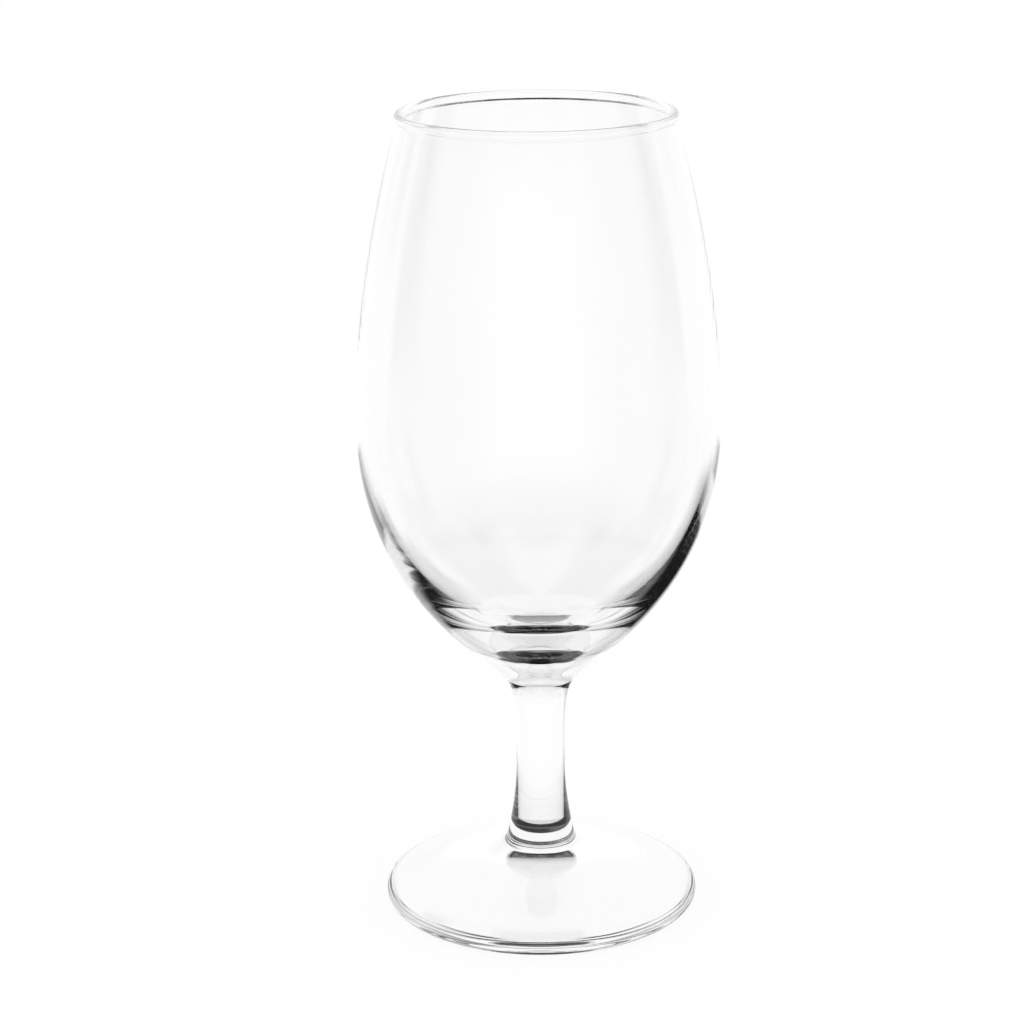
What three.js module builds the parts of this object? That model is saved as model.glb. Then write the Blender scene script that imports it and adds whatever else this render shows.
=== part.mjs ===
// Water goblet of clear glass: a blown bowl, a drawn stem and a hollow conical foot, fused hot end to end.
// Sizes are millimetres and degrees. +Z is up, and the origin is on the table under the middle of the foot.
import * as THREE from 'three';

// Height of each piece, from the joint below it to the joint or the rim above it
const FOOT_HEIGHT = 16.3;
const STEM_LENGTH = 38.5;
const BOWL_HEIGHT = 132.5;

// Fused joints: the diameter shared by the two pieces, and how far their sides lean from upright there
const FOOT_JOINT_DIAMETER = 15.4;
const FOOT_JOINT_LEAN = 12;
const BOWL_JOINT_DIAMETER = 16.4;
const BOWL_JOINT_LEAN = 33;

// Foot: a cone with a full-round edge and a fillet up to the stem
const FOOT_DIAMETER = 73.6;
const FOOT_EDGE_THICKNESS = 4.2;
const FOOT_EDGE_SLOPE = 20;
const FOOT_CROWN_SLOPE = 13.5;
const FOOT_FILLET_WIDTH = 1.9;
const FOOT_FILLET_HEIGHT = 2.8;

// Underside of the foot: a flat ring that stands on the table, round a shallow hollow
const RESTING_RING_WIDTH = 0.6;
const HOLLOW_DEPTH = 8;
const HOLLOW_SLOPE = 10;

// Stem: its waist, and the waist's height above the foot joint
const WAIST_DIAMETER = 11.3;
const WAIST_HEIGHT = 17.5;

// Bowl outside: the shoulder and the belly, each with its height above the bowl joint, and the wall under the rim
const SHOULDER_DIAMETER = 26.3;
const SHOULDER_HEIGHT = 4.9;
const SHOULDER_SLOPE = 39;
const BELLY_DIAMETER = 83;
const BELLY_HEIGHT = 61.7;
const RIM_DIAMETER = 61.9;
const RIM_LEAN = 16;

// Bowl inside: the wall at the belly and under the rim, and the solid glass at the bottom
const BELLY_WALL = 1.6;
const RIM_WALL = 1.35;
const BOTTOM_THICKNESS = 10.5;

// Rim bead: the melted lip, which hangs over the outside of the wall on a short sloping ledge
const BEAD_HEIGHT = 2.2;
const BEAD_THICKNESS = 2.1;
const BEAD_CROWN = 1.05;
const BEAD_OVERHANG = 0.5;
const BEAD_LEDGE = 0.6;
const BEAD_LEDGE_SLOPE = 45;
const BEAD_RUN_IN = 1;

// How long each curve holds the heading that it leaves on and the one that it arrives on, as shares of its reach
const HOLLOW_HOLD = [0.41, 0.43];
const CONE_HOLD = [0.37, 0.15];
const FILLET_HOLD = [0.29, 0.45];
const LOWER_STEM_HOLD = [0.2, 0.42];
const UPPER_STEM_HOLD = [0.8, 0.16];
const FLARE_HOLD = [0.29, 0.363];
const LOWER_BOWL_HOLD = [0.366, 0.379];
const UPPER_BOWL_HOLD = [0.29, 0.375];
const BEAD_SIDE_HOLD = [0.35, 0.45];
const BEAD_RUN_IN_HOLD = [0.36, 0.4];
const UPPER_INSIDE_HOLD = [0.366, 0.296];
const LOWER_INSIDE_HOLD = [0.487, 0.28];

// Headings in the section, in degrees above level and outwards
const LEVEL_OUT = 0;
const UP = 90;
const LEVEL_IN = 180;
const DOWN = 270;
const FULL_TURN = 360;

// Facets round the axis, and steps along a long curve, a short one and a small rounding
const FACETS = 60;
const LONG_STEPS = 10;
const SHORT_STEPS = 6;
const ROUND_STEPS = 4;

const CLEAR_GLASS = { color: 0xf3f6f6, roughness: 0.03, metalness: 0, transparent: true, opacity: 0.35 };

// A point of a section: its radius from the axis and its height.
function at(radius, height) {
  return new THREE.Vector2(radius, height);
}

// The point a given distance along a heading.
function stepFrom(point, heading, distance) {
  const angle = THREE.MathUtils.degToRad(heading);
  return at(point.x + distance * Math.cos(angle), point.y + distance * Math.sin(angle));
}

// Carries a section on from its last point in one smooth curve that leaves and arrives on the given headings.
function sweepTo(section, end, leaving, arriving, [leavingHold, arrivingHold], steps) {
  const start = section.at(-1);
  const reach = start.distanceTo(end);
  const first = stepFrom(start, leaving, leavingHold * reach);
  const second = stepFrom(end, arriving, -arrivingHold * reach);
  const curve = new THREE.CubicBezierCurve(start, first, second, end);
  section.push(...curve.getPoints(steps).slice(1));
}

// Carries a section on round part of an ellipse, anticlockwise from the angle of its last point to another.
function roundOff(section, centre, acrossRadius, upRadius, from, to, steps) {
  const { degToRad } = THREE.MathUtils;
  const curve = new THREE.EllipseCurve(
    centre.x, centre.y, acrossRadius, upRadius, degToRad(from), degToRad(to),
  );
  section.push(...curve.getPoints(steps).slice(1));
}

// Foot, from the top of the hollow round the edge to the joint under the stem
function footSection() {
  const edgeRadius = FOOT_EDGE_THICKNESS / 2;
  const edgeCentre = at(FOOT_DIAMETER / 2 - edgeRadius, edgeRadius);
  const ringInside = at(edgeCentre.x - RESTING_RING_WIDTH, 0);
  const joint = at(FOOT_JOINT_DIAMETER / 2, FOOT_HEIGHT);
  const crown = at(joint.x + FOOT_FILLET_WIDTH, joint.y - FOOT_FILLET_HEIGHT);
  const section = [at(0, HOLLOW_DEPTH)];
  sweepTo(section, ringInside, LEVEL_OUT, LEVEL_OUT - HOLLOW_SLOPE, HOLLOW_HOLD, LONG_STEPS);
  section.push(at(edgeCentre.x, 0));
  roundOff(section, edgeCentre, edgeRadius, edgeRadius, DOWN, FULL_TURN, ROUND_STEPS);
  roundOff(section, edgeCentre, edgeRadius, edgeRadius, LEVEL_OUT, UP - FOOT_EDGE_SLOPE, ROUND_STEPS);
  sweepTo(section, crown, LEVEL_IN - FOOT_EDGE_SLOPE, LEVEL_IN - FOOT_CROWN_SLOPE, CONE_HOLD, SHORT_STEPS);
  sweepTo(section, joint, LEVEL_IN - FOOT_CROWN_SLOPE, UP + FOOT_JOINT_LEAN, FILLET_HOLD, ROUND_STEPS);
  section.push(at(0, FOOT_HEIGHT));
  return section;
}

// Stem, from the foot joint in to the waist and out again to the bowl joint
function stemSection() {
  const waist = at(WAIST_DIAMETER / 2, WAIST_HEIGHT);
  const bowlJoint = at(BOWL_JOINT_DIAMETER / 2, STEM_LENGTH);
  const section = [at(0, 0), at(FOOT_JOINT_DIAMETER / 2, 0)];
  sweepTo(section, waist, UP + FOOT_JOINT_LEAN, UP, LOWER_STEM_HOLD, SHORT_STEPS);
  sweepTo(section, bowlJoint, UP, UP - BOWL_JOINT_LEAN, UPPER_STEM_HOLD, SHORT_STEPS);
  section.push(at(0, STEM_LENGTH));
  return section;
}

// Bowl, from the joint over the stem up the outside, over the rim bead and down the inside to the bottom
function bowlSection() {
  const shoulder = at(SHOULDER_DIAMETER / 2, SHOULDER_HEIGHT);
  const belly = at(BELLY_DIAMETER / 2, BELLY_HEIGHT);
  const wallTop = at(RIM_DIAMETER / 2, BOWL_HEIGHT - BEAD_HEIGHT);
  const ledgeEnd = stepFrom(wallTop, BEAD_LEDGE_SLOPE, BEAD_LEDGE);
  const beadHalf = BEAD_THICKNESS / 2;
  const beadCentre = at(wallTop.x + BEAD_OVERHANG - beadHalf, BOWL_HEIGHT - BEAD_CROWN);
  const beadSide = at(beadCentre.x + beadHalf, beadCentre.y);
  const insideTop = stepFrom(at(wallTop.x - RIM_WALL, wallTop.y), DOWN + RIM_LEAN, BEAD_RUN_IN);
  const insideBelly = at(belly.x - BELLY_WALL, belly.y);
  const bottom = at(0, BOTTOM_THICKNESS);
  const section = [at(0, 0), at(BOWL_JOINT_DIAMETER / 2, 0)];
  sweepTo(section, shoulder, UP - BOWL_JOINT_LEAN, SHOULDER_SLOPE, FLARE_HOLD, ROUND_STEPS);
  sweepTo(section, belly, SHOULDER_SLOPE, UP, LOWER_BOWL_HOLD, LONG_STEPS);
  sweepTo(section, wallTop, UP, UP + RIM_LEAN, UPPER_BOWL_HOLD, LONG_STEPS);
  section.push(ledgeEnd);
  sweepTo(section, beadSide, BEAD_LEDGE_SLOPE, UP, BEAD_SIDE_HOLD, ROUND_STEPS);
  roundOff(section, beadCentre, beadHalf, BEAD_CROWN, LEVEL_OUT, LEVEL_IN, 2 * ROUND_STEPS);
  sweepTo(section, insideTop, DOWN, DOWN + RIM_LEAN, BEAD_RUN_IN_HOLD, ROUND_STEPS);
  sweepTo(section, insideBelly, DOWN + RIM_LEAN, DOWN, UPPER_INSIDE_HOLD, LONG_STEPS);
  sweepTo(section, bottom, DOWN, LEVEL_IN, LOWER_INSIDE_HOLD, LONG_STEPS);
  return section;
}

// One piece of the goblet: its section turned about the axis and set on the joint below it
function turnedPiece(name, section, baseHeight) {
  const geometry = new THREE.LatheGeometry(section, FACETS);
  geometry.rotateX(Math.PI / 2);
  const piece = new THREE.Mesh(geometry, new THREE.MeshStandardMaterial(CLEAR_GLASS));
  piece.name = name;
  piece.position.z = baseHeight;
  return piece;
}

const goblet = new THREE.Group();
goblet.add(turnedPiece('foot', footSection(), 0));
goblet.add(turnedPiece('stem', stemSection(), FOOT_HEIGHT));
goblet.add(turnedPiece('bowl', bowlSection(), FOOT_HEIGHT + STEM_LENGTH));

export default goblet;
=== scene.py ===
import math

import bpy
from mathutils import Euler, Matrix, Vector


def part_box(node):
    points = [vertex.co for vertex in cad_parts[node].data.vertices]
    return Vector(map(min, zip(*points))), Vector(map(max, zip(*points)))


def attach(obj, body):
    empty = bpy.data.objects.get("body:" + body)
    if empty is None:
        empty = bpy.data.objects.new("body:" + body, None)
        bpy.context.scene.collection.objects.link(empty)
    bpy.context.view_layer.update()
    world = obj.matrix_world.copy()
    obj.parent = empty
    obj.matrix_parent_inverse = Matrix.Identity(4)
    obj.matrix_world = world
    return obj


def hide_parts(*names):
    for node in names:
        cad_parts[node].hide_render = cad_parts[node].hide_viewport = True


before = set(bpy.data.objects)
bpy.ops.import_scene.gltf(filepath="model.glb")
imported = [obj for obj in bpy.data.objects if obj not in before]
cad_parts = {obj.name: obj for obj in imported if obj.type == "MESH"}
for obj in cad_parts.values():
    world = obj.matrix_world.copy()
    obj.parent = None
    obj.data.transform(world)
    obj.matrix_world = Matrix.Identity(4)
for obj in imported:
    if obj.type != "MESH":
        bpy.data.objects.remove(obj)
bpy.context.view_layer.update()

# Foot: a hollow cone of clear glass, pressed in a mould, that stands on a narrow flat ring round its edge.
# Its full-round edge is fire-polished, and a fillet on top runs up to the joint where the stem is fused on.
MM = 0.001
LEVEL_OUT, UP, LEVEL_IN, DOWN = 0, 90, 180, 270
foot_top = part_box("foot")[1]
FOOT_RADIUS = foot_top.x / MM
FOOT_JOINT_HEIGHT = foot_top.z / MM
FOOT_JOINT_RADIUS = 7.7
FOOT_JOINT_LEAN = 12
FOOT_EDGE_RADIUS = 2.1
FOOT_EDGE_SLOPE = 20
FOOT_CROWN_SLOPE = 13.5
FOOT_FILLET_WIDTH = 1.9
FOOT_FILLET_HEIGHT = 2.8
RESTING_RING_WIDTH = 0.6
HOLLOW_DEPTH = 8
HOLLOW_SLOPE = 10
HOLLOW_HOLD = (0.41, 0.43)
CONE_HOLD = (0.37, 0.15)
FILLET_HOLD = (0.29, 0.45)
FOOT_STEPS = 48

TURN_STEPS = 160
MERGE_DISTANCE = 0.001 * MM
SMOOTH_BELOW = math.radians(35)
CIRCLE_HOLD = 4 / 3


def step_from(point, heading, distance):
    """The point of a section that lies a distance along a heading, in degrees above level and outwards."""
    angle = math.radians(heading)
    return (point[0] + distance * math.cos(angle), point[1] + distance * math.sin(angle))


def start_at(place):
    """Begins a section with its first knot: its place, and the handles of the curves into and out of it."""
    return [{"place": place, "into": None, "out_of": None}]


def sweep_to(section, place, leaving, arriving, holds):
    """Carries a section on in one curve, which holds the two headings for given shares of its reach."""
    start = section[-1]
    reach = math.dist(start["place"], place)
    start["out_of"] = step_from(start["place"], leaving, holds[0] * reach)
    section.append({"place": place, "into": step_from(place, arriving, -holds[1] * reach), "out_of": None})


def round_to(section, place, leaving, arriving, radius):
    """Carries a section on round part of a circle."""
    turn = math.radians(arriving - leaving)
    hold = CIRCLE_HOLD * math.tan(turn / 4) * radius / math.dist(section[-1]["place"], place)
    sweep_to(section, place, leaving, arriving, (hold, hold))


def line_to(section, place):
    """Carries a section on in a straight line."""
    section.append({"place": place, "into": None, "out_of": None})


def draw_stretch(section, steps):
    """Draws one stretch of a section as a curve in the X Z plane and makes it a line of edges."""
    bpy.ops.object.select_all(action="DESELECT")
    bpy.ops.curve.primitive_bezier_curve_add()
    stretch = bpy.context.object
    stretch.data.dimensions = "3D"
    stretch.data.resolution_u = steps
    knots = stretch.data.splines[0].bezier_points
    knots.add(len(section) - len(knots))
    for knot, drawn in zip(knots, section):
        for side in ("left", "right"):
            setattr(knot, "handle_" + side + "_type", "VECTOR")
        knot.co = (drawn["place"][0] * MM, 0, drawn["place"][1] * MM)
    for knot, drawn in zip(knots, section):
        for side, handle in (("left", drawn["into"]), ("right", drawn["out_of"])):
            if handle:
                setattr(knot, "handle_" + side + "_type", "FREE")
                setattr(knot, "handle_" + side, (handle[0] * MM, 0, handle[1] * MM))
    bpy.ops.object.convert(target="MESH")
    return bpy.context.object


def turn_piece(name, stretches):
    """Joins the stretches of a section and spins them round the goblet's axis into a closed piece."""
    lines = [draw_stretch(section, steps) for section, steps in stretches]
    for line in lines:
        line.select_set(True)
    bpy.ops.object.join()
    piece = bpy.context.object
    piece.name = name
    piece.data.name = name
    bpy.ops.object.mode_set(mode="EDIT")
    bpy.ops.mesh.select_all(action="SELECT")
    bpy.ops.mesh.spin(steps=TURN_STEPS, angle=2 * math.pi, center=(0, 0, 0), axis=(0, 0, 1))
    bpy.ops.mesh.select_all(action="SELECT")
    bpy.ops.mesh.remove_doubles(threshold=MERGE_DISTANCE)
    bpy.ops.mesh.normals_make_consistent(inside=False)
    bpy.ops.object.mode_set(mode="OBJECT")
    bpy.ops.object.shade_smooth_by_angle(angle=SMOOTH_BELOW)
    return piece


GLASS_IOR = 1.52
PURE_GLASS = (1, 1, 1, 1)
TINTED_GLASS = (0.992, 0.996, 0.995, 1)
RIPPLE_DETAIL = 1
HAZE_DETAIL = 4
HAZE_FROM = 0.45
HAZE_FULL = 0.8
HAZE_ROUGHNESS = 0.006
JOINT_SLOT = 1
JOINT_TOLERANCE = 0.01 * MM


def glass_skin_group():
    """Slow ripples, faint haze and a trace of tint that run over hot-worked glass."""
    group = bpy.data.node_groups.new("glass_skin", "ShaderNodeTree")
    for socket in ("Ripple Scale", "Haze Scale"):
        group.interface.new_socket(socket, in_out="INPUT", socket_type="NodeSocketFloat")
    group.interface.new_socket("Tint", in_out="OUTPUT", socket_type="NodeSocketColor")
    group.interface.new_socket("Haze", in_out="OUTPUT", socket_type="NodeSocketFloat")
    group.interface.new_socket("Ripple", in_out="OUTPUT", socket_type="NodeSocketFloat")
    nodes, links = group.nodes, group.links
    given = nodes.new("NodeGroupInput")
    result = nodes.new("NodeGroupOutput")
    place = nodes.new("ShaderNodeTexCoord")
    ripple = nodes.new("ShaderNodeTexNoise")
    ripple.inputs["Detail"].default_value = RIPPLE_DETAIL
    haze = nodes.new("ShaderNodeTexNoise")
    haze.inputs["Detail"].default_value = HAZE_DETAIL
    haze_range = nodes.new("ShaderNodeMapRange")
    haze_range.inputs["From Min"].default_value = HAZE_FROM
    haze_range.inputs["From Max"].default_value = HAZE_FULL
    haze_range.inputs["To Max"].default_value = HAZE_ROUGHNESS
    tint = nodes.new("ShaderNodeMix")
    tint.data_type = "RGBA"
    tint.inputs["A"].default_value = PURE_GLASS
    tint.inputs["B"].default_value = TINTED_GLASS
    links.new(place.outputs["Object"], ripple.inputs["Vector"])
    links.new(place.outputs["Object"], haze.inputs["Vector"])
    links.new(given.outputs["Ripple Scale"], ripple.inputs["Scale"])
    links.new(given.outputs["Haze Scale"], haze.inputs["Scale"])
    links.new(haze.outputs["Fac"], haze_range.inputs["Value"])
    links.new(ripple.outputs["Fac"], tint.inputs["Factor"])
    links.new(tint.outputs["Result"], result.inputs["Tint"])
    links.new(haze_range.outputs["Result"], result.inputs["Haze"])
    links.new(ripple.outputs["Fac"], result.inputs["Ripple"])
    return group


glass_skin = glass_skin_group()


def glass_material(name, ripple_scale, ripple_height, haze_scale):
    """Clear glass with its own ripples, in heights of millimetres, and haze."""
    material = bpy.data.materials.new(name)
    material.use_nodes = True
    nodes, links = material.node_tree.nodes, material.node_tree.links
    glass = nodes["Principled BSDF"]
    glass.inputs["Metallic"].default_value = 0
    glass.inputs["Transmission Weight"].default_value = 1
    glass.inputs["IOR"].default_value = GLASS_IOR
    skin = nodes.new("ShaderNodeGroup")
    skin.node_tree = glass_skin
    skin.inputs["Ripple Scale"].default_value = ripple_scale
    skin.inputs["Haze Scale"].default_value = haze_scale
    bump = nodes.new("ShaderNodeBump")
    bump.inputs["Strength"].default_value = 1
    bump.inputs["Distance"].default_value = ripple_height * MM
    links.new(skin.outputs["Tint"], glass.inputs["Base Color"])
    links.new(skin.outputs["Haze"], glass.inputs["Roughness"])
    links.new(skin.outputs["Ripple"], bump.inputs["Height"])
    links.new(bump.outputs["Normal"], glass.inputs["Normal"])
    return material


fused_joint = bpy.data.materials.new("fused_joint")
fused_joint.use_nodes = True
fused_joint.node_tree.nodes["Principled BSDF"].inputs["Alpha"].default_value = 0


def finish_piece(piece, glass, joint_heights):
    """Gives a piece its glass, and lets light run straight through the flat faces where it is fused on."""
    piece.data.materials.append(glass)
    piece.data.materials.append(fused_joint)
    for face in piece.data.polygons:
        corners = [piece.data.vertices[index].co.z for index in face.vertices]
        for height in joint_heights:
            if all(abs(corner - height * MM) < JOINT_TOLERANCE for corner in corners):
                face.material_index = JOINT_SLOT


edge_centre = (FOOT_RADIUS - FOOT_EDGE_RADIUS, FOOT_EDGE_RADIUS)
foot_joint = (FOOT_JOINT_RADIUS, FOOT_JOINT_HEIGHT)
crown = (FOOT_JOINT_RADIUS + FOOT_FILLET_WIDTH, FOOT_JOINT_HEIGHT - FOOT_FILLET_HEIGHT)
ring_inside = (edge_centre[0] - RESTING_RING_WIDTH, 0)
cone_start = step_from(edge_centre, UP - FOOT_EDGE_SLOPE, FOOT_EDGE_RADIUS)
foot_line = start_at((0, HOLLOW_DEPTH))
sweep_to(foot_line, ring_inside, LEVEL_OUT, LEVEL_OUT - HOLLOW_SLOPE, HOLLOW_HOLD)
line_to(foot_line, (edge_centre[0], 0))
round_to(foot_line, (FOOT_RADIUS, FOOT_EDGE_RADIUS), LEVEL_OUT, UP, FOOT_EDGE_RADIUS)
round_to(foot_line, cone_start, UP, LEVEL_IN - FOOT_EDGE_SLOPE, FOOT_EDGE_RADIUS)
sweep_to(foot_line, crown, LEVEL_IN - FOOT_EDGE_SLOPE, LEVEL_IN - FOOT_CROWN_SLOPE, CONE_HOLD)
sweep_to(foot_line, foot_joint, LEVEL_IN - FOOT_CROWN_SLOPE, UP + FOOT_JOINT_LEAN, FILLET_HOLD)
line_to(foot_line, (0, FOOT_JOINT_HEIGHT))
foot = turn_piece("goblet_foot", [(foot_line, FOOT_STEPS)])
pressed_glass = glass_material("pressed_glass", ripple_scale=60, ripple_height=0.01, haze_scale=300)
finish_piece(foot, pressed_glass, [FOOT_JOINT_HEIGHT])
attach(foot, "root")
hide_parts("foot")

# Stem: a short solid rod of clear glass, drawn out hot so that it is narrowest a little below its middle.
# It is fused to the foot at its lower end, and flares at its upper end into the joint with the bowl.
BOWL_JOINT_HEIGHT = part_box("stem")[1].z / MM
BOWL_JOINT_RADIUS = 8.2
BOWL_JOINT_LEAN = 33
WAIST_RADIUS = 5.65
WAIST_HEIGHT = FOOT_JOINT_HEIGHT + 17.5
LOWER_STEM_HOLD = (0.2, 0.42)
UPPER_STEM_HOLD = (0.8, 0.16)
STEM_STEPS = 64

bowl_joint = (BOWL_JOINT_RADIUS, BOWL_JOINT_HEIGHT)
stem_line = start_at((0, FOOT_JOINT_HEIGHT))
line_to(stem_line, foot_joint)
sweep_to(stem_line, (WAIST_RADIUS, WAIST_HEIGHT), UP + FOOT_JOINT_LEAN, UP, LOWER_STEM_HOLD)
sweep_to(stem_line, bowl_joint, UP, UP - BOWL_JOINT_LEAN, UPPER_STEM_HOLD)
line_to(stem_line, (0, BOWL_JOINT_HEIGHT))
stem = turn_piece("goblet_stem", [(stem_line, STEM_STEPS)])
drawn_glass = glass_material("drawn_glass", ripple_scale=80, ripple_height=0.001, haze_scale=300)
finish_piece(stem, drawn_glass, [FOOT_JOINT_HEIGHT, BOWL_JOINT_HEIGHT])
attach(stem, "root")
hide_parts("stem")

# Bowl: a thin egg-shaped shell of clear glass, blown in a mould, with a thick bottom over the stem.
# The rim is cracked off and melted back to a bead, which hangs over the outside of the wall on a short ledge.
RIM_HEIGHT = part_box("bowl")[1].z / MM
BELLY_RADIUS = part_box("bowl")[1].x / MM
BELLY_HEIGHT = BOWL_JOINT_HEIGHT + 61.7
SHOULDER_RADIUS = 13.15
SHOULDER_HEIGHT = BOWL_JOINT_HEIGHT + 4.9
SHOULDER_SLOPE = 39
WALL_TOP_RADIUS = 30.95
RIM_LEAN = 16
BELLY_WALL = 1.6
RIM_WALL = 1.35
BOTTOM_HEIGHT = BOWL_JOINT_HEIGHT + 10.5
BEAD_HEIGHT = 2.2
BEAD_HALF = 1.05
BEAD_CROWN = 1.05
BEAD_OVERHANG = 0.5
BEAD_LEDGE = 0.6
BEAD_LEDGE_SLOPE = 45
BEAD_RUN_IN = 1
LEDGE_SOFTNESS = 0.12
QUARTER_ROUND = 0.5523
FLARE_HOLD = (0.29, 0.363)
LOWER_BOWL_HOLD = (0.366, 0.379)
UPPER_BOWL_HOLD = (0.29, 0.375)
LEDGE_HOLD = (0.4, 0.4)
BEAD_SIDE_HOLD = (0.35, 0.45)
BEAD_RUN_IN_HOLD = (0.36, 0.4)
UPPER_INSIDE_HOLD = (0.366, 0.296)
LOWER_INSIDE_HOLD = (0.487, 0.28)
WALL_STEPS = 96
RIM_STEPS = 12

wall_lean = UP + RIM_LEAN
wall_top = (WALL_TOP_RADIUS, RIM_HEIGHT - BEAD_HEIGHT)
wall_end = step_from(wall_top, wall_lean, -LEDGE_SOFTNESS)
ledge_start = step_from(wall_top, BEAD_LEDGE_SLOPE, LEDGE_SOFTNESS)
ledge_end = step_from(wall_top, BEAD_LEDGE_SLOPE, BEAD_LEDGE)
bead_centre = (WALL_TOP_RADIUS + BEAD_OVERHANG - BEAD_HALF, RIM_HEIGHT - BEAD_CROWN)
inside_top = step_from((WALL_TOP_RADIUS - RIM_WALL, wall_top[1]), DOWN + RIM_LEAN, BEAD_RUN_IN)
crown_hold = (
    QUARTER_ROUND * BEAD_CROWN / math.hypot(BEAD_HALF, BEAD_CROWN),
    QUARTER_ROUND * BEAD_HALF / math.hypot(BEAD_HALF, BEAD_CROWN),
)
outside_line = start_at((0, BOWL_JOINT_HEIGHT))
line_to(outside_line, bowl_joint)
shoulder = (SHOULDER_RADIUS, SHOULDER_HEIGHT)
sweep_to(outside_line, shoulder, UP - BOWL_JOINT_LEAN, SHOULDER_SLOPE, FLARE_HOLD)
sweep_to(outside_line, (BELLY_RADIUS, BELLY_HEIGHT), SHOULDER_SLOPE, UP, LOWER_BOWL_HOLD)
sweep_to(outside_line, wall_end, UP, wall_lean, UPPER_BOWL_HOLD)
rim_line = start_at(wall_end)
sweep_to(rim_line, ledge_start, wall_lean, BEAD_LEDGE_SLOPE, LEDGE_HOLD)
line_to(rim_line, ledge_end)
sweep_to(rim_line, (bead_centre[0] + BEAD_HALF, bead_centre[1]), BEAD_LEDGE_SLOPE, UP, BEAD_SIDE_HOLD)
sweep_to(rim_line, (bead_centre[0], RIM_HEIGHT), UP, LEVEL_IN, crown_hold)
sweep_to(rim_line, (bead_centre[0] - BEAD_HALF, bead_centre[1]), LEVEL_IN, DOWN, crown_hold[::-1])
sweep_to(rim_line, inside_top, DOWN, DOWN + RIM_LEAN, BEAD_RUN_IN_HOLD)
inside_line = start_at(inside_top)
sweep_to(inside_line, (BELLY_RADIUS - BELLY_WALL, BELLY_HEIGHT), DOWN + RIM_LEAN, DOWN, UPPER_INSIDE_HOLD)
sweep_to(inside_line, (0, BOTTOM_HEIGHT), DOWN, LEVEL_IN, LOWER_INSIDE_HOLD)
bowl = turn_piece(
    "goblet_bowl",
    [(outside_line, WALL_STEPS), (rim_line, RIM_STEPS), (inside_line, WALL_STEPS)],
)
blown_glass = glass_material("blown_glass", ripple_scale=45, ripple_height=0.01, haze_scale=250)
finish_piece(bowl, blown_glass, [BOWL_JOINT_HEIGHT])
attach(bowl, "root")
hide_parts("bowl")

# Floor: a wide plain white table top that the goblet stands on.
# It glows just enough to stay white beside the soft light, and keeps the goblet's faint shadow.
FLOOR_SIZE = 6
FLOOR_GAP = 0.2 * MM
FLOOR_GLOW = 0.92
FLOOR_TONE = 0.08
HALF_A_COUNT = 0.5

bpy.ops.object.select_all(action="DESELECT")
bpy.ops.mesh.primitive_plane_add(size=FLOOR_SIZE, location=(0, 0, -FLOOR_GAP))
floor = bpy.context.object
floor.name = "studio_floor"
floor_paint = bpy.data.materials.new("studio_white")
floor_paint.use_nodes = True
nodes, links = floor_paint.node_tree.nodes, floor_paint.node_tree.links
nodes.remove(nodes["Principled BSDF"])
matt = nodes.new("ShaderNodeBsdfDiffuse")
matt.inputs["Color"].default_value = (FLOOR_TONE, FLOOR_TONE, FLOOR_TONE, 1)
glow = nodes.new("ShaderNodeEmission")
glow.inputs["Strength"].default_value = FLOOR_GLOW
white = nodes.new("ShaderNodeAddShader")
clear = nodes.new("ShaderNodeBsdfTransparent")
seen_by = nodes.new("ShaderNodeLightPath")
reflected = nodes.new("ShaderNodeMath")
reflected.operation = "GREATER_THAN"
reflected.inputs[1].default_value = HALF_A_COUNT
either = nodes.new("ShaderNodeMixShader")
links.new(matt.outputs["BSDF"], white.inputs[0])
links.new(glow.outputs["Emission"], white.inputs[1])
links.new(seen_by.outputs["Glossy Depth"], reflected.inputs[0])
links.new(reflected.outputs["Value"], either.inputs["Fac"])
links.new(white.outputs["Shader"], either.inputs[1])
links.new(clear.outputs["BSDF"], either.inputs[2])
links.new(either.outputs["Shader"], nodes["Material Output"].inputs["Surface"])
floor.data.materials.append(floor_paint)

# Studio: a white screen behind the goblet, a lit ceiling and table and a window on the right, in a dark room.
# What the glass lets straight through is white, so that only its reflections show the room. What is reflected
# off a wall, within the glass, many times over or through a fused joint meets its own side of that room.
ROOM_TONE = 0.012
CEILING_TONE = 0.7
TABLE_TONE = 0.8
FAR_TABLE_TONE = 0.24
WINDOW_TONE = 0.8
UNDER_TONE = 0.8
LOW_FRONT_TONE = 0.92
SIDE_TONE = 0.82
JOINT_TONE = 0.2
HALF_TURN = 180
ONCE_IN_AND_OUT = 2

world = bpy.data.worlds.new("studio")
bpy.context.scene.world = world
world.use_nodes = True
nodes, links = world.node_tree.nodes, world.node_tree.links


def feed(socket, given):
    """Gives a socket a number, or the output of another node."""
    if isinstance(given, bpy.types.NodeSocket):
        links.new(given, socket)
    else:
        socket.default_value = given


def figure(operation, *values):
    """A value worked out from up to three others."""
    node = nodes.new("ShaderNodeMath")
    node.operation = operation
    for socket, given in zip(node.inputs, values):
        feed(socket, given)
    return node.outputs["Value"]


def times(first, *others):
    """Values multiplied by one another."""
    for other in others:
        first = figure("MULTIPLY", first, other)
    return first


def brightest(first, *others):
    """The greatest of some tones."""
    for other in others:
        first = figure("MAXIMUM", first, other)
    return first


def without(tone, shade):
    """A tone with a share of it taken away."""
    return figure("MULTIPLY", tone, figure("SUBTRACT", 1, shade))


def choose(share, first, second):
    """One of two tones, by a share of nought or one."""
    node = nodes.new("ShaderNodeMix")
    for socket, given in (("Factor", share), ("A", first), ("B", second)):
        feed(node.inputs[socket], given)
    return node.outputs["Result"]


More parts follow.
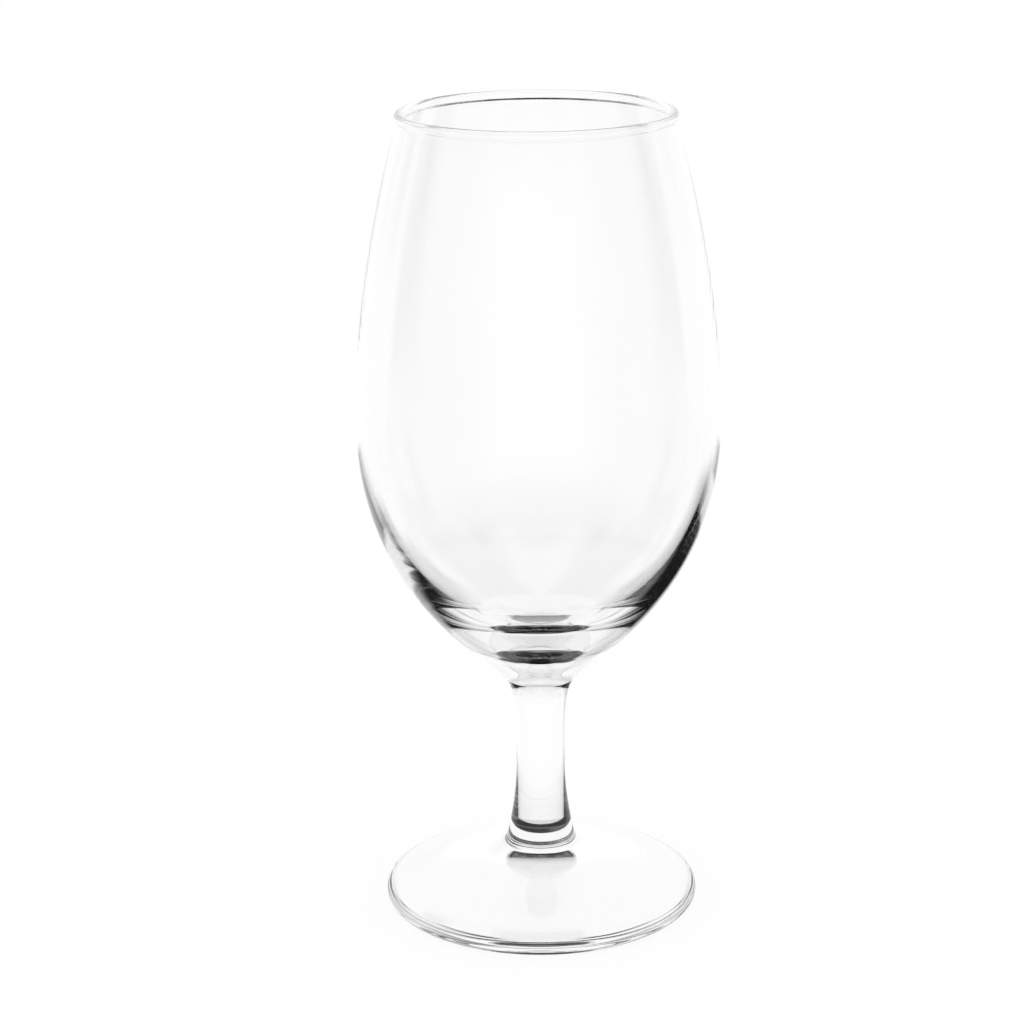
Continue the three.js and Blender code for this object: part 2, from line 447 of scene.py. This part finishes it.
def fade(value, none, full):
    """A share that goes softly from none to all between two levels of a value."""
    node = nodes.new("ShaderNodeMapRange")
    node.interpolation_type = "SMOOTHSTEP"
    node.inputs["From Min"].default_value = none
    node.inputs["From Max"].default_value = full
    links.new(value, node.inputs["Value"])
    return node.outputs["Result"]


def at_least(count, number):
    """Whether a whole count reaches a number."""
    return figure("GREATER_THAN", count, number - HALF_A_COUNT)


direction = nodes.new("ShaderNodeTexCoord")
parts = nodes.new("ShaderNodeSeparateXYZ")
links.new(direction.outputs["Generated"], parts.inputs["Vector"])
azimuth = figure("DEGREES", figure("ARCTAN2", parts.outputs["X"], parts.outputs["Y"]))
elevation = figure("DEGREES", figure("ARCSINE", parts.outputs["Z"]))


def card(left, right, low, high, side_soft, edge_soft):
    """Part of the surround between two azimuths from straight behind and two elevations, in degrees."""
    from_middle = figure("SUBTRACT", azimuth, (left + right) / 2)
    beside = figure("ABSOLUTE", figure("WRAP", from_middle, HALF_TURN, -HALF_TURN))
    half = (right - left) / 2
    across = fade(beside, half + side_soft, half - side_soft)
    above = fade(elevation, low - edge_soft, low + edge_soft)
    below = fade(elevation, high + edge_soft, high - edge_soft)
    return times(across, above, below)


# The room, as light that is reflected many times over meets it
screen = card(left=-76, right=76, low=-62, high=75, side_soft=8, edge_soft=10)
screen_top = card(left=-97, right=97, low=34, high=65, side_soft=6, edge_soft=6)
near_table = card(left=-128, right=128, low=-28, high=-5, side_soft=1, edge_soft=6)
far_table = card(left=-181, right=181, low=-28, high=-5, side_soft=1, edge_soft=6)
window = card(left=124, right=172, low=-4, high=30, side_soft=6, edge_soft=6)
ceiling_dark = card(left=148, right=212, low=30, high=71, side_soft=12, edge_soft=5)
ceiling = without(times(fade(elevation, none=44, full=56), CEILING_TONE), ceiling_dark)
lit_table = brightest(times(near_table, TABLE_TONE), times(far_table, FAR_TABLE_TONE))
room = brightest(screen, screen_top, lit_table, times(window, WINDOW_TONE), ceiling, ROOM_TONE)
# Two dark patches low on the table beside the goblet: its own shadow there, painted into the room as shade
right_shade = card(left=18, right=50, low=-60, high=-22, side_soft=5, edge_soft=4)
left_shade = card(left=-58, right=-22, low=-62, high=-38, side_soft=5, edge_soft=4)
shaded_room = without(without(room, right_shade), left_shade)

# The front of the room, which is lit for light that is reflected once
off_middle = figure("ABSOLUTE", azimuth)
front_across = figure("MULTIPLY_ADD", fade(off_middle, none=116, full=165), 1 - SIDE_TONE, SIDE_TONE)
front_high = times(fade(elevation, none=-46, full=-36), fade(elevation, none=40, full=14))
front_low = times(fade(elevation, none=-36, full=-46), LOW_FRONT_TONE)
front = times(front_across, brightest(front_high, front_low), fade(off_middle, none=70, full=88))
under = times(card(left=-95, right=95, low=-95, high=-55, side_soft=8, edge_soft=6), UNDER_TONE)
off_wall = brightest(shaded_room, under, front)
far_front_high = times(front_across, front_high, fade(off_middle, none=85, full=105))
far_front_low = times(front_across, front_low, fade(off_middle, none=130, full=155))
right_dark = card(left=12, right=45, low=-48, high=-28, side_soft=3, edge_soft=4)
left_dark = card(left=-45, right=-12, low=-48, high=-28, side_soft=3, edge_soft=4)
table_room = without(shaded_room, brightest(right_dark, left_dark))
within_glass = brightest(table_room, far_front_high, far_front_low)

# Which of them a ray meets, by how often it was reflected, went through glass and ran through a joint
seen_by = nodes.new("ShaderNodeLightPath")
reflections = seen_by.outputs["Glossy Depth"]
passages = seen_by.outputs["Transmission Depth"]
reflected = at_least(reflections, 1)
again = at_least(reflections, 2)
in_and_out = figure("COMPARE", passages, ONCE_IN_AND_OUT, HALF_A_COUNT)
through_floor = figure("LESS_THAN", elevation, 0)
joints = figure("SUBTRACT", seen_by.outputs["Transparent Depth"], through_floor)
through_joint = at_least(joints, 1)
overhead = card(left=-75, right=75, low=40, high=95, side_soft=6, edge_soft=5)
many_times = without(shaded_room, times(fade(reflections, none=12, full=18), overhead))
in_one_piece = choose(again, choose(in_and_out, off_wall, within_glass), many_times)
across_joint = times(many_times, again, JOINT_TONE)
tone = choose(reflected, 1, choose(through_joint, in_one_piece, across_joint))
links.new(tone, nodes["Background"].inputs["Color"])

# Camera: stands a little above the goblet and looks down at it with a long lens.
# It is turned and rolled by the small angles at which the photograph was taken.
CAMERA_BACK = 0.6259
CAMERA_HEIGHT = 0.2830
CAMERA_LENS = 100
CAMERA_SENSOR = 36
CAMERA_PITCH = math.radians(16.74)
CAMERA_ROLL = math.radians(-0.54)
PICTURE_WIDTH = 1024
GOBLET_OFF_CENTRE = 27

pixels_per_slope = PICTURE_WIDTH * CAMERA_LENS / CAMERA_SENSOR
camera_yaw = math.atan(GOBLET_OFF_CENTRE / pixels_per_slope) / math.cos(CAMERA_PITCH)
bpy.ops.object.select_all(action="DESELECT")
bpy.ops.object.camera_add(location=(0, -CAMERA_BACK, CAMERA_HEIGHT))
camera = bpy.context.object
camera.name = "camera"
camera.data.lens = CAMERA_LENS
camera.data.sensor_width = CAMERA_SENSOR
aim = Euler((math.pi / 2 - CAMERA_PITCH, 0, camera_yaw)).to_matrix()
camera.rotation_euler = (aim @ Matrix.Rotation(CAMERA_ROLL, 3, "Z")).to_euler()

scene = bpy.context.scene
scene.camera = camera
scene.view_settings.view_transform = "Standard"
GLASS_BOUNCES = 1024
scene.cycles.max_bounces = GLASS_BOUNCES
scene.cycles.glossy_bounces = GLASS_BOUNCES
scene.cycles.transmission_bounces = GLASS_BOUNCES
scene.cycles.transparent_max_bounces = GLASS_BOUNCES
